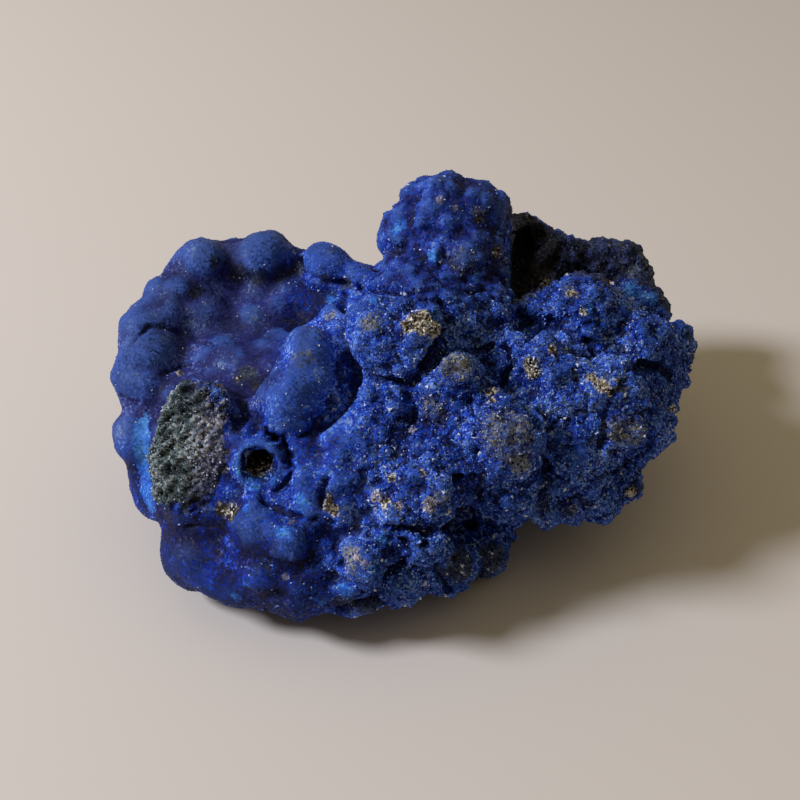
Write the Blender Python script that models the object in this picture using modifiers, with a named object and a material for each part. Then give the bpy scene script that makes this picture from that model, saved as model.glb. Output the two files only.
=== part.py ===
"""A lump of azurite, about 80 mm long, grown as one mass of rounded lobes.

The lobes grew into each other, so the specimen is a single solid. It is broken off flat underneath, where it
stands. A short hollow stalactite and a knob with a broken face stand on its front.
Units are metres, +Z is up, +X runs along the length, and -Y is the side with the knob and the hollow stalactite.
The origin is on the flat underside, near its middle.
"""

import bmesh
import bpy
from mathutils import Matrix, Vector

MM = 0.001
NAME = "azurite_specimen"

# How the lobes melt into one skin: the step, the softening passes and the number of triangles kept.
VOXEL = 1.1 * MM
SOFTEN_STEPS = 3
TRIANGLES = 8200
SPHERE_STEPS = 3

# The block under the plane that the specimen stands on: wider than the specimen.
GROUND_SIDE = 160 * MM

# Ellipsoids that fill the inside: centre x, y, z and half sizes, in millimetres.
CORES = [
    ((-20, 3, 13), (18, 18, 14)),
    ((-2, 1, 14), (15, 17, 17)),
    ((6.8, 15, 34.7), (7.8, 7.8, 8.8)),
    ((4, 5, 31), (10, 9, 8)),
    ((5, 13, 25), (10, 10, 10)),
    ((-5, -5, 21), (9, 9, 7.5)),
    ((-10, -9, 13), (12, 10, 11)),
    ((20, 0, 20), (15, 13, 9.5)),
    ((27.3, 11, 19), (10.5, 12, 10)),
    ((17, 25.5, 17), (8, 8, 9.5)),
    ((27.5, 23, 13), (10, 10, 9)),
    ((-6, 1, 3), (22, 18, 8)),
    ((10, 8, 6), (17, 16, 10)),
]

# Lobes, region by region: centre x, y, z and radius, in millimetres.
CROWN = [
    (4.5, 15.9, 41.2, 4.7),
    (7.9, 16, 40.8, 4.7),
    (1, 13.8, 37.4, 4.4),
    (10.8, 16.7, 39.1, 4.8),
    (10, 11.2, 34.5, 5.3),
    (3.1, 9.5, 34.4, 4.7),
    (-0.5, 6.7, 33.6, 3.3),
    (8.4, 19.4, 34.3, 6.3),
    (12.1, 4.3, 32.5, 4),
]
RIDGE = [
    (18.8, 31.7, 26, 4.4),
    (22.4, 30.2, 24.4, 4.4),
    (26.8, 31.5, 21.3, 4.6),
    (31.1, 31.5, 21, 4.8),
    (34.6, 31.5, 21, 4.4),
    (36.9, 23.7, 18.3, 4.5),
    (38.4, 11, 20.8, 4.3),
    (37.4, 7.5, 18.6, 4),
]
RIGHT_MASS = [
    (19.6, 6.3, 29.7, 4.5),
    (25.1, 6.3, 29.7, 5),
    (30.1, 5.5, 27.6, 4.5),
    (33.7, 4.7, 24.5, 5),
    (7, -7.7, 26.8, 5.2),
    (12.6, -12.4, 23.5, 5.6),
    (15.2, -2.8, 28.5, 4),
    (20.7, -4.8, 26.5, 5),
    (26.8, -4.8, 24, 6.1),
    (32.3, -3.8, 18.9, 5),
    (22.7, -8.8, 18.4, 6.1),
    (34.9, 3.8, 18.8, 5),
    (26.5, -11, 12.3, 3.6),
    (30.5, -7.7, 11.5, 3.4),
    (13.5, -13.7, 16.2, 5),
    (5, -14, 20.5, 5.8),
    (20.4, -12.4, 12.7, 4),
    (34.3, 0.3, 13.9, 3.8),
    (29.3, -0.7, 10.8, 5),
]
MIDDLE = [
    (-2.5, -1.9, 32.4, 5),
    (3, -3, 32, 4.8),
    (-6.5, 1.5, 30, 3.5),
    (-11.5, -2.5, 29.5, 4.5),
    (-13, -5.5, 27, 4.8),
    (-14.5, -8, 24.5, 4.2),
    (-8, 7, 27, 4),
]
FRONT = [
    (-2.5, -6.5, 25, 5.5),
    (-5, -10.5, 20.5, 6.5),
    (-8.9, -15.6, 17, 6.4),
    (0, -16.6, 16.6, 6.1),
    (3.4, -20.6, 12.8, 3.7),
    (-4.4, -23, 13.3, 3.9),
    (0, -22.1, 8.4, 4.1),
    (-5.8, -22.6, 8, 4.9),
    (-13.1, -20.1, 11.8, 6),
    (-13.1, -22.6, 8, 5.3),
    (-20.4, -19.5, 7.8, 6),
    (5.9, -18.2, 6.5, 4.7),
    (10.5, -12.8, 4.3, 4.8),
    (15, -9.7, 8.2, 3),
    (11.1, -7.3, 7.8, 5.5),
    (-12.5, -13.5, 21, 3.5),
    (-11.9, -19.3, 17.3, 3.8),
    (-17.1, -19.8, 15.4, 4.4),
]
LEFT_MASS = [
    (-28.5, 18, 28.7, 5.3),
    (-24, 19, 28.5, 5),
    (-19, 20, 29, 5),
    (-11, 18, 28.8, 4.5),
    (-6, 15, 28.5, 4),
    (-32, 13.5, 26, 5),
    (-34.6, 8.5, 24.5, 5.4),
    (-34, 3.5, 20.5, 6),
    (-26, 12, 23.5, 4.8),
    (-19.5, 12, 23.5, 5),
    (-12.5, 13, 24.5, 4.2),
    (-34.8, -2, 14.5, 5),
    (-32.3, -5.5, 9, 5.8),
    (-26.5, -16.1, 7.3, 6.1),
    (-28.4, -9.5, 11.5, 6),
    (-24.5, 5, 21, 6),
    (-16, 4, 22, 6),
]
BACK = [
    (-33, 12, 15, 6),
    (-27, 19, 18, 6),
    (-18, 22, 20, 5.5),
    (-9, 20, 19, 6),
    (-32, 6, 7, 5.5),
    (-24, 18, 8, 6.5),
    (-13, 21, 9, 6.5),
    (-2, 20, 12, 6.5),
    (-4, 20, 5, 5),
    (1, 19, 24, 6.5),
    (9, 25, 25, 6.5),
    (8, 26, 14, 7),
    (5, 23, 6, 6.5),
    (15, 27, 21, 6.5),
    (18, 28, 12, 7),
    (18, 25, 6, 7),
    (26, 28, 14, 7),
    (27, 23, 7, 6.5),
    (33.5, 27, 14, 5.5),
    (34, 19, 11, 5.5),
    (30, 4, 11, 5),
    (20, 1, 7.5, 5),
]

# The knob: three lobes, cut off by the plane of its broken face.
KNOB = [
    (-25, -9, 24, 5.5),
    (-26.3, -11.5, 19.5, 6),
    (-25.5, -14, 15.5, 5.8),
]
KNOB_FACE_POINT = Vector((-27.5, -15, 20.5)) * MM
KNOB_FACE_OUT = Vector((-0.12, -0.8, 0.6)).normalized()
KNOB_FACE_SIZE = (12 * MM, 26 * MM, 12 * MM)

# The hollow stalactite: its mouth, the way it points, its outer radius and the radius and depth of its bore.
TUBE_MOUTH = Vector((-17.7, -15.8, 22.7)) * MM
TUBE_OUT = Vector((0.05, -0.82, 0.57)).normalized()
TUBE_RADIUS = 3.8 * MM
TUBE_LENGTH = 11 * MM
TUBE_SEGMENTS = 24
BORE_RADIUS = 1.9 * MM
BORE_DEPTH = 6 * MM
BORE_SEGMENTS = 14


def clear_scene():
    for obj in list(bpy.data.objects):
        bpy.data.objects.remove(obj)


def new_collection(name):
    made = bpy.data.collections.new(name)
    bpy.context.scene.collection.children.link(made)
    return made


def new_object(name, mesh_maker, collection):
    """An object whose mesh is what mesh_maker leaves in an empty bmesh."""
    shape = bmesh.new()
    mesh_maker(shape)
    mesh = bpy.data.meshes.new(name)
    shape.to_mesh(mesh)
    shape.free()
    obj = bpy.data.objects.new(name, mesh)
    collection.objects.link(obj)
    return obj


def add_ellipsoid(shape, centre_mm, half_sizes_mm):
    place = Matrix.Translation(Vector(centre_mm) * MM)
    size = Matrix.Diagonal((*(Vector(half_sizes_mm) * MM), 1))
    bmesh.ops.create_icosphere(shape, subdivisions=SPHERE_STEPS, radius=1, matrix=place @ size)


def along(point, direction):
    """The matrix that stands a shape made along +Z at point, turned to direction."""
    return Matrix.Translation(point) @ direction.to_track_quat("Z", "Y").to_matrix().to_4x4()


def add_cylinder(shape, point, direction, radius, length, segments):
    bmesh.ops.create_cone(
        shape,
        cap_ends=True,
        segments=segments,
        radius1=radius,
        radius2=radius,
        depth=length,
        matrix=along(point, direction),
    )


def grown_lobes(shape):
    for centre, half_sizes in CORES:
        add_ellipsoid(shape, centre, half_sizes)
    for region in (CROWN, RIDGE, RIGHT_MASS, MIDDLE, FRONT, LEFT_MASS, BACK, KNOB):
        for x, y, z, radius in region:
            add_ellipsoid(shape, (x, y, z), (radius, radius, radius))
    tube_middle = TUBE_MOUTH - TUBE_OUT * TUBE_LENGTH / 2
    add_cylinder(shape, tube_middle, TUBE_OUT, TUBE_RADIUS, TUBE_LENGTH, TUBE_SEGMENTS)


def ground_block(shape):
    """Everything under the plane that the specimen stands on."""
    bmesh.ops.create_cube(shape, size=GROUND_SIDE, matrix=Matrix.Translation((0, 0, -GROUND_SIDE / 2)))


def knob_block(shape):
    """What broke off the knob: it stops short of the hollow stalactite."""
    width, height, depth = KNOB_FACE_SIZE
    place = along(KNOB_FACE_POINT + KNOB_FACE_OUT * depth / 2, KNOB_FACE_OUT)
    size = Matrix.Diagonal((width, height, depth, 1))
    bmesh.ops.create_cube(shape, size=1, matrix=place @ size)


def tube_bore(shape):
    """The bore, from its floor to as far again outside the mouth."""
    add_cylinder(shape, TUBE_MOUTH, TUBE_OUT, BORE_RADIUS, 2 * BORE_DEPTH, BORE_SEGMENTS)


def triangle_count(obj):
    graph = bpy.context.evaluated_depsgraph_get()
    mesh = obj.evaluated_get(graph).to_mesh()
    mesh.calc_loop_triangles()
    return len(mesh.loop_triangles)


def cut(obj, cutter):
    cutter.hide_render = True
    cutter.display_type = "WIRE"
    boolean = obj.modifiers.new(cutter.name, "BOOLEAN")
    boolean.operation = "DIFFERENCE"
    boolean.solver = "EXACT"
    boolean.object = cutter


def azurite():
    """Deep blue, dull, and a little rough."""
    material = bpy.data.materials.new("azurite")
    material.use_nodes = True
    shader = material.node_tree.nodes["Principled BSDF"]
    shader.inputs["Base Color"].default_value = (0.014, 0.028, 0.16, 1)
    shader.inputs["Roughness"].default_value = 0.7
    shader.inputs["Metallic"].default_value = 0
    return material


def main():
    clear_scene()
    parts = new_collection(NAME)
    cutters = new_collection("cutters")

    specimen = new_object(NAME, grown_lobes, parts)
    specimen.data.materials.append(azurite())

    melt = specimen.modifiers.new("melt", "REMESH")
    melt.mode = "VOXEL"
    melt.voxel_size = VOXEL
    soften = specimen.modifiers.new("soften", "SMOOTH")
    soften.iterations = SOFTEN_STEPS
    bpy.context.view_layer.update()
    thin = specimen.modifiers.new("thin", "DECIMATE")
    thin.ratio = min(1, TRIANGLES / triangle_count(specimen))
    bpy.context.view_layer.update()

    cut(specimen, new_object("broken_knob", knob_block, cutters))
    cut(specimen, new_object("bore", tube_bore, cutters))
    cut(specimen, new_object("ground", ground_block, cutters))


main()
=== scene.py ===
from math import cos, pi, radians, sin, sqrt, tan

import bmesh
import bpy
import numpy as np
from mathutils import Euler, Matrix, Vector
from mathutils.bvhtree import BVHTree


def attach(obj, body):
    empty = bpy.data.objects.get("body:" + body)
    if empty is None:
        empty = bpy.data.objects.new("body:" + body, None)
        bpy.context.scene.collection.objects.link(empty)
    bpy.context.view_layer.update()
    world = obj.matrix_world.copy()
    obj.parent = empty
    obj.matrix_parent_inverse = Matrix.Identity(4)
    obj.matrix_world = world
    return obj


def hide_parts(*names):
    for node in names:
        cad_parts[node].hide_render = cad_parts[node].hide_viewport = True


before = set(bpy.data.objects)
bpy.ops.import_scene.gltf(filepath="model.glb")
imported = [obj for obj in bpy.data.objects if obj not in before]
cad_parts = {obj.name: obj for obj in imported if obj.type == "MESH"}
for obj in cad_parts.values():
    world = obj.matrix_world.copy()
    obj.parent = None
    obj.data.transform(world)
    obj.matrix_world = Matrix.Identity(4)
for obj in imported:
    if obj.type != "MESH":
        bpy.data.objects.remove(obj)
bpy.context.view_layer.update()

# --------------------------------------------------------------------------------------------------
# The grown mass: azurite that grew in rounded lobes, each lobe a crowd of smaller lumps that ran together.
# The big lobes come from the solid. The lumps on them are balls, sunk into it and melted into one skin, and
# the dark clefts between the lobes are pressed into that skin.
# --------------------------------------------------------------------------------------------------
MM = 0.001
BODY_STEP = 0.6 * MM  # the step at which the solid's facets are taken off
BODY_SOFTENING = 6
BODY_INSET = 0.4 * MM  # room for the lumps
LUMP_STEP = 0.5 * MM  # the step at which the lumps melt into the body
SKIN_STEP = 0.36 * MM  # the step at which the smallest lumps melt into the skin
SKIN_SOFTENING = 1
SKIN_TRIANGLES = 190_000

# The front view. Lumps, clefts and patches are given as they show in it from the eye: across and down, in a
# square view of this many steps a side.
EYE = Vector((0, -0.1287, 0.128))
VIEW_TILT, VIEW_HALF_ANGLE, VIEW_STEPS = radians(50), radians(18), 800

# The swellings of the lobes themselves.
SWELLINGS = [
    (378, 330, 32), (400, 331, 36), (420, 332, 33), (505, 440, 37), (455, 370, 28), (620, 432, 22),
    (470, 258, 28), (430, 490, 30), (590, 300, 32), (640, 338, 26), (545, 360, 26), (602, 385, 24),
    (570, 470, 30), (313, 350, 23), (305, 380, 27), (290, 407, 27), (262, 252, 20), (205, 259, 20),
    (285, 300, 26), (326, 258, 22), (410, 556, 25), (405, 590, 20), (365, 560, 23), (290, 545, 26),
    (250, 575, 24), (315, 590, 22), (190, 565, 26), (450, 214, 36), (470, 240, 34), (430, 236, 28),
    (496, 214, 22), (127, 358, 23), (124, 440, 24), (648, 272, 14), (668, 312, 14), (684, 346, 14),
    (205, 588, 18), (252, 290, 12), (288, 284, 14), (323, 284, 12), (210, 288, 11),
]
SWELLINGS_SUNK = 0.7
LUMP_FIT = 0.96  # melting makes a lump a little larger
LUMP_BRIM, LUMP_DROP = 0.7, 6  # where the slope is read round a lump, and the drop past which it isn't

# Lumps with a place of their own: how deep they are sunk, as a share of their radius, then for each where it
# shows and how far it reaches there.
LUMPS = {
    "left mound": (0.75, [
        (181, 291, 15), (176, 312, 16), (222, 285, 13), (205, 312, 22), (258, 290, 14), (290, 288, 16),
        (320, 283, 10), (250, 315, 16), (245, 332, 12), (262, 345, 12), (208, 262, 12), (240, 262, 14),
        (355, 272, 13), (325, 257, 18), (152, 350, 23), (128, 348, 12), (150, 382, 12), (143, 400, 12),
        (136, 330, 11), (265, 362, 14), (240, 393, 10), (262, 388, 9), (126, 425, 13), (126, 450, 14),
        (129, 476, 10), (204, 246, 17), (262, 243, 20), (318, 248, 14), (282, 312, 10), (300, 300, 11),
        (195, 335, 9), (285, 335, 9),
    ]),
    "long lobe": (0.66, [
        (305, 338, 19), (318, 352, 18), (302, 360, 17), (318, 378, 20), (300, 382, 18), (290, 400, 20),
        (312, 403, 17), (282, 418, 15), (300, 425, 13), (325, 345, 10),
    ]),
    "middle lump and its slope": (0.55, [
        (358, 312, 16), (375, 325, 17), (395, 342, 14), (416, 330, 20), (385, 352, 12), (360, 346, 12),
        (374, 302, 12), (400, 308, 12), (436, 325, 12), (375, 362, 14), (368, 392, 12), (395, 392, 10),
        (386, 377, 12), (365, 420, 10), (380, 432, 10), (395, 407, 12), (402, 370, 10), (412, 355, 12),
        (350, 440, 12), (335, 455, 12), (345, 480, 13), (365, 460, 12), (385, 455, 10), (355, 500, 10),
        (340, 520, 12),
    ]),
    "crown": (0.55, [
        (412, 192, 12), (440, 187, 18), (430, 207, 14), (425, 218, 12), (450, 176, 14), (480, 197, 18),
        (486, 182, 12), (500, 202, 14), (505, 226, 12), (448, 222, 10), (400, 216, 16), (395, 236, 12),
        (406, 243, 10), (440, 250, 15), (470, 257, 20), (450, 277, 12), (476, 280, 9), (495, 250, 10),
        (510, 250, 14), (390, 262, 12), (384, 275, 9), (410, 272, 14), (425, 287, 14), (446, 297, 10),
        (490, 300, 10), (500, 312, 12), (470, 322, 12), (460, 303, 10), (506, 288, 10), (480, 335, 10),
    ]),
    "tongue of the coarse side": (0.46, [
        (455, 367, 20), (430, 387, 12), (446, 392, 12), (470, 387, 12), (433, 412, 13), (420, 433, 10),
        (418, 447, 10), (440, 442, 8), (455, 430, 10), (450, 456, 12), (430, 462, 10), (415, 472, 12),
        (440, 487, 14), (395, 476, 8), (405, 497, 12), (430, 507, 17), (396, 516, 14), (442, 516, 12),
        (490, 425, 12), (521, 425, 13), (531, 442, 12), (520, 466, 14), (496, 466, 14), (476, 442, 10),
        (530, 482, 12), (481, 416, 8), (474, 402, 8), (505, 406, 8), (468, 496, 13), (490, 500, 10),
        (511, 501, 12), (526, 497, 8), (505, 443, 20),
    ]),
    "coarse side": (0.42, [
        (545, 285, 16), (570, 292, 10), (590, 292, 10), (606, 297, 9), (631, 292, 13), (650, 302, 12),
        (655, 331, 16), (640, 325, 12), (645, 350, 14), (625, 355, 10), (610, 341, 10), (590, 331, 12),
        (585, 311, 8), (560, 311, 12), (540, 311, 12), (620, 311, 12), (545, 346, 15), (561, 341, 12),
        (530, 366, 11), (556, 371, 12), (575, 366, 10), (550, 396, 12), (570, 401, 12), (590, 401, 10),
        (555, 416, 10), (616, 371, 8), (610, 401, 8), (630, 381, 10), (645, 381, 10), (660, 386, 10),
        (640, 401, 10), (670, 406, 9), (632, 431, 18), (600, 426, 12), (580, 431, 12), (560, 436, 10),
        (580, 456, 14), (601, 461, 12), (566, 466, 10), (590, 486, 16), (561, 486, 10), (620, 451, 10),
        (604, 504, 8), (570, 509, 13), (551, 513, 9), (590, 505, 10), (634, 488, 12), (626, 471, 10),
        (650, 451, 10), (664, 431, 10),
    ]),
    "ridge behind": (0.5, [
        (570, 251, 14), (590, 263, 12), (606, 251, 12), (625, 251, 14), (611, 271, 8), (640, 264, 12),
        (651, 282, 9), (541, 241, 12), (521, 226, 12), (664, 307, 10), (680, 331, 12), (689, 352, 9),
        (675, 366, 12), (684, 381, 8),
    ]),
    "front foot": (0.5, [
        (300, 477, 17), (285, 496, 11), (305, 497, 10), (310, 516, 11), (332, 491, 9), (331, 511, 9),
        (290, 546, 17), (262, 577, 20), (287, 576, 11), (300, 587, 10), (312, 571, 10), (330, 561, 12),
        (325, 541, 12), (350, 546, 11), (345, 590, 14), (300, 606, 11), (366, 563, 19), (371, 576, 13),
        (402, 585, 19), (406, 598, 10), (395, 571, 8), (422, 547, 23), (381, 546, 11), (386, 531, 10),
        (386, 516, 11), (376, 497, 10), (231, 546, 12), (186, 506, 9), (211, 511, 11), (236, 521, 11),
        (256, 506, 9), (270, 532, 10),
    ]),
    "round the hollow stalactite": (0.55, [
        (233, 440, 7), (248, 431, 8), (264, 431, 8), (280, 438, 7), (291, 452, 5), (292, 470, 7),
        (232, 488, 8), (250, 497, 8), (275, 494, 8),
    ]),
}

# The clefts between the lobes: each a path of places, with the half width there.
CLEFTS = [
    [
        (338, 330, 2), (346, 345, 3), (352, 362, 5), (355, 378, 6), (352, 394, 4), (343, 410, 3),
        (326, 426, 3), (300, 437, 2),
    ],
    [(341, 300, 4), (343, 318, 4), (341, 333, 4)],
    [(449, 322, 6), (449, 338, 8), (437, 353, 7), (424, 368, 5), (412, 384, 4)],
    [(516, 300, 4), (519, 282, 6), (524, 262, 9), (533, 243, 12), (545, 232, 10)],
    [
        (506, 345, 4), (512, 362, 5), (504, 380, 4), (514, 397, 7), (526, 408, 7), (536, 424, 5),
        (541, 445, 4), (546, 466, 4), (548, 486, 5), (545, 505, 6), (540, 518, 5),
    ],
    [(456, 478, 4), (470, 477, 3), (482, 478, 4), (480, 492, 3), (476, 505, 3)],
    [(592, 360, 5), (610, 368, 6), (632, 369, 6), (650, 365, 5), (664, 368, 5), (676, 380, 5)],
    [(376, 588, 5), (386, 577, 4), (399, 567, 4), (408, 556, 3), (404, 540, 3)],
    [(172, 524, 1), (188, 527, 2), (204, 525, 1), (216, 527, 1)],
    [(241, 402, 4), (246, 416, 4), (238, 427, 3), (230, 412, 3)],
    [(162, 326, 2), (178, 333, 2), (196, 338, 2), (212, 345, 2)],
    [(114, 396, 2), (126, 402, 2), (138, 402, 2)],
    [(126, 358, 1), (131, 345, 1), (149, 326, 2), (171, 328, 1), (184, 340, 1)],
    [(284, 440, 2), (288, 452, 2), (285, 462, 2)],
    [(326, 478, 3), (322, 492, 4), (321, 507, 3)],
    [(300, 256, 2), (304, 272, 2), (312, 278, 2), (340, 282, 3), (352, 286, 3)],
    [(456, 348, 4), (474, 352, 3), (492, 346, 3)],
    [(360, 605, 5), (340, 612, 5), (375, 600, 5)],
    [(343, 294, 3), (365, 290, 4), (390, 290, 4), (416, 297, 4), (440, 303, 4), (452, 318, 5)],
    [(374, 256, 4), (378, 272, 5), (360, 286, 4)],
    [(470, 292, 3), (486, 286, 3), (494, 296, 3)],
    [(560, 420, 3), (548, 430, 3)],
    [(588, 340, 4), (596, 350, 4)],
    [(640, 366, 4), (625, 380, 3), (615, 392, 3)],
    [(385, 526, 3), (400, 528, 3), (404, 520, 3)],
    [(268, 440, 2), (280, 437, 2)],
    [(345, 354, 3), (360, 369, 3), (380, 379, 3), (402, 381, 3)],
    [(395, 528, 4), (430, 531, 5), (470, 524, 5), (510, 521, 5), (540, 523, 5)],
    [(470, 400, 3), (473, 425, 3), (476, 452, 3)],
    [(560, 340, 3), (575, 352, 3), (590, 357, 3)],
    [(610, 402, 3), (605, 422, 3), (600, 446, 3)],
    [(640, 455, 3), (620, 470, 3), (600, 480, 3)],
    [(425, 545, 4), (438, 570, 4), (448, 592, 4)],
    [(330, 522, 3), (345, 540, 3), (340, 565, 3)],
    [(262, 500, 3), (285, 512, 3), (315, 520, 3)],
    [(163, 374, 2), (185, 364, 2), (215, 364, 2), (230, 371, 2)],
]
CLEFT_WIDTH, CLEFT_DEPTH = 1.8, 2.3  # times the half width
SKIN_EVENED, PRESS_EVENED = 5, 12  # how often the skin, and the way it is pressed, are evened


def grow(tree, kind, feeds=(), **choices):
    """Adds a node. choices are its own settings, and feeds are its inputs, each a value or a socket."""
    made = tree.nodes.new(kind)
    for name, value in choices.items():
        setattr(made, name, value)
    for name, value in dict(feeds).items():
        socket = made.inputs[name]
        if isinstance(value, bpy.types.NodeSocket):
            tree.links.new(value, socket)
        else:
            socket.default_value = value
    return made


def sums(tree, how, *values):
    """One Math node: how is its operation, and values are numbers or sockets."""
    return grow(tree, "ShaderNodeMath", dict(enumerate(values)), operation=how).outputs[0]


def geometry_tree(name, **inputs):
    """A geometry tree with named inputs: floats, ints, or None for an object. Underscores become spaces."""
    tree = bpy.data.node_groups.new(name, "GeometryNodeTree")
    face = tree.interface
    face.new_socket("Geometry", in_out="OUTPUT", socket_type="NodeSocketGeometry")
    face.new_socket("Geometry", in_out="INPUT", socket_type="NodeSocketGeometry")
    for label, value in inputs.items():
        kind = {float: "Float", int: "Int"}.get(type(value), "Object")
        socket = face.new_socket(label.replace("_", " "), in_out="INPUT", socket_type="NodeSocket" + kind)
        if value is not None:
            socket.default_value = value
    return tree, tree.nodes.new("NodeGroupInput").outputs, tree.nodes.new("NodeGroupOutput").inputs[0]


def finish_tree(tree, geometry, finish, made):
    """Ends a tree: what it has placed is made real and gets its finish."""
    real = grow(tree, "GeometryNodeRealizeInstances", {"Geometry": geometry})
    with_finish = grow(tree, "GeometryNodeSetMaterial", {"Geometry": real.outputs[0], "Material": finish})
    tree.links.new(with_finish.outputs[0], made)


def kept_number(tree, name):
    return grow(tree, "GeometryNodeInputNamedAttribute", {"Name": name}, data_type="FLOAT").outputs[0]


def use_tree(piece, tree, **values):
    """Puts a geometry tree on a piece, with its inputs set by their identifiers."""
    modifier = piece.modifiers.new(tree.name, "NODES")
    modifier.node_group = tree
    sockets = {s.name: s.identifier for s in tree.interface.items_tree if s.in_out == "INPUT"}
    for label, value in values.items():
        modifier[sockets[label.replace("_", " ")]] = value


def melt(piece, step, softening):
    """Puts a voxel remesh and a little smoothing on a piece."""
    skin = piece.modifiers.new("skin", "REMESH")
    skin.mode = "VOXEL"
    skin.voxel_size = step
    soften = piece.modifiers.new("soften", "SMOOTH")
    soften.iterations = softening


def settle(piece):
    """Makes what a piece's modifiers give its own plain mesh, and takes them off."""
    graph = bpy.context.evaluated_depsgraph_get()
    mesh = bpy.data.meshes.new_from_object(
        piece.evaluated_get(graph), preserve_all_data_layers=True, depsgraph=graph
    )
    piece.modifiers.clear()
    piece.data = mesh
    mesh.name = piece.name


def new_piece(name, mesh):
    piece = bpy.data.objects.new(name, mesh)
    bpy.context.scene.collection.objects.link(piece)
    return piece


def read(items, what, width=3, kind=np.float32):
    found = np.empty(len(items) * width, kind)
    items.foreach_get(what, found)
    return found.reshape(-1, width) if width > 1 else found


def move(mesh, places):
    mesh.vertices.foreach_set("co", np.ascontiguousarray(places, np.float32).ravel())
    mesh.update()


def store(mesh, name, values):
    """Keeps one number for each vertex under this name."""
    layer = mesh.attributes.get(name) or mesh.attributes.new(name, "FLOAT", "POINT")
    layer.data.foreach_set("value", np.ascontiguousarray(values, np.float32))


def ramp(values, low, high):
    """0 up to low, 1 from high, and smooth between. low may be the larger."""
    t = np.clip((values - low) / (high - low), 0, 1)
    return t * t * (3 - 2 * t)


def evened(mesh, values, times):
    """Each vertex's values, averaged with its neighbours' this many times."""
    ends = read(mesh.edges, "vertices", 2, np.int32)
    a, b = np.concatenate([ends, ends[:, ::-1]]).T
    count = np.bincount(a, minlength=len(values))
    for _ in range(times):
        total = np.stack([np.bincount(a, column[b], len(values)) for column in values.T], 1)
        values = (values + total) / (1 + count)[:, None]
    return values


view_turn = Euler((VIEW_TILT, 0, 0)).to_matrix()
VIEW_RIGHT, VIEW_UP, VIEW_IN = view_turn.col[0], view_turn.col[1], -view_turn.col[2]
VIEW_STEP = tan(VIEW_HALF_ANGLE) * 2 / VIEW_STEPS  # how far a step goes, for each length in from the eye
PULL, MOST_PULLS = 0.01, 30


def surface_of(mesh):
    mesh.calc_loop_triangles()
    corners = [tuple(triangle.vertices) for triangle in mesh.loop_triangles]
    return BVHTree.FromPolygons([vertex.co for vertex in mesh.vertices], corners)


def shown(surface, across, down):
    """Where a place in the front view lies on a surface, its normal, and a step's size, in millimetres."""
    for pull in range(MOST_PULLS):  # a place just past the outline is drawn in
        right, up = across - VIEW_STEPS / 2, VIEW_STEPS / 2 - down
        reach = VIEW_STEP * (1 - PULL * pull)
        toward = (VIEW_IN + VIEW_RIGHT * right * reach + VIEW_UP * up * reach).normalized()
        point, normal, _, _ = surface.ray_cast(EYE, toward)
        if point is not None:
            return point / MM, normal, (point - EYE).dot(VIEW_IN) * VIEW_STEP / MM


def lump_at(surface, across, down, reach, sunk):
    """A lump that shows there with this reach, with its centre under the surface: its centre and radius."""
    point, facing, step = shown(surface, across, down)
    for k in range(8):
        right, below = LUMP_BRIM * reach * cos(k * pi / 4), LUMP_BRIM * reach * sin(k * pi / 4)
        beside, normal, _ = shown(surface, across + right, down + below)
        if (beside - point).length < LUMP_DROP:
            facing = facing + normal
    radius = LUMP_FIT * reach * step / sqrt(1 - sunk**2)
    return (*(point - facing.normalized() * radius * sunk), radius)


def spots_at(surface, places):
    """Each place in the front view as a point on a surface and a radius."""
    found = []
    for across, down, reach in places:
        point, _, step = shown(surface, across, down)
        found.append((*point, reach * step))
    return found


def as_shown(p):
    """How far across and down points show in the front view."""
    rel = p * MM - np.array(EYE)
    step = (rel @ np.array(VIEW_IN)) * VIEW_STEP
    half = VIEW_STEPS / 2
    return half + (rel @ np.array(VIEW_RIGHT)) / step, half - (rel @ np.array(VIEW_UP)) / step


def coarseness(p):
    """From 0 on the smooth left mound to 1 on the coarse right side, for points in millimetres."""
    x, y, z = p.T
    right = ramp(x + 0.15 * z - 0.2 * y, -4, 6)
    foot = 0.5 * ramp(x, -22, -12) * ramp(z, 26, 14) * ramp(y, 0, -8)
    crown = 0.4 * ramp(z, 33, 37)
    return np.clip(np.maximum(right * (1 - 0.55 * ramp(z, 37, 41)), np.maximum(foot, crown)), 0, 1)


def violet_mound(p):
    """1 on the violet left mound, and 0 on the blue rest."""
    x, y, z = p.T
    return ramp(x, -13.5, -18) * ramp(y + 0.3 * z, -5, 1)


def low_left(p):
    """1 on the plain low front at the left, and 0 off it."""
    return ramp(p[:, 0], -4, -14) * ramp(p[:, 2], 19, 13) * ramp(p[:, 1], 4, 0)


CROWN_LEFT, CROWN_RIGHT, CROWN_FOOT = (365, 380), (530, 515), (308, 286)  # where it fades out, in the view
CROWN_HEIGHT = (26, 30)


def on_crown(p):
    """1 on the tall lobe at the back, and 0 off it."""
    across, down = as_shown(p)
    sides = ramp(across, *CROWN_LEFT) * ramp(across, *CROWN_RIGHT)
    return sides * ramp(down, *CROWN_FOOT) * ramp(p[:, 2], *CROWN_HEIGHT)


KNOB_FACE = (-26.6, -15.2, 20.5)  # the middle of the knob's broken face
KNOB_OUT = Vector((-0.12, -0.8, 0.6)).normalized()
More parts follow.
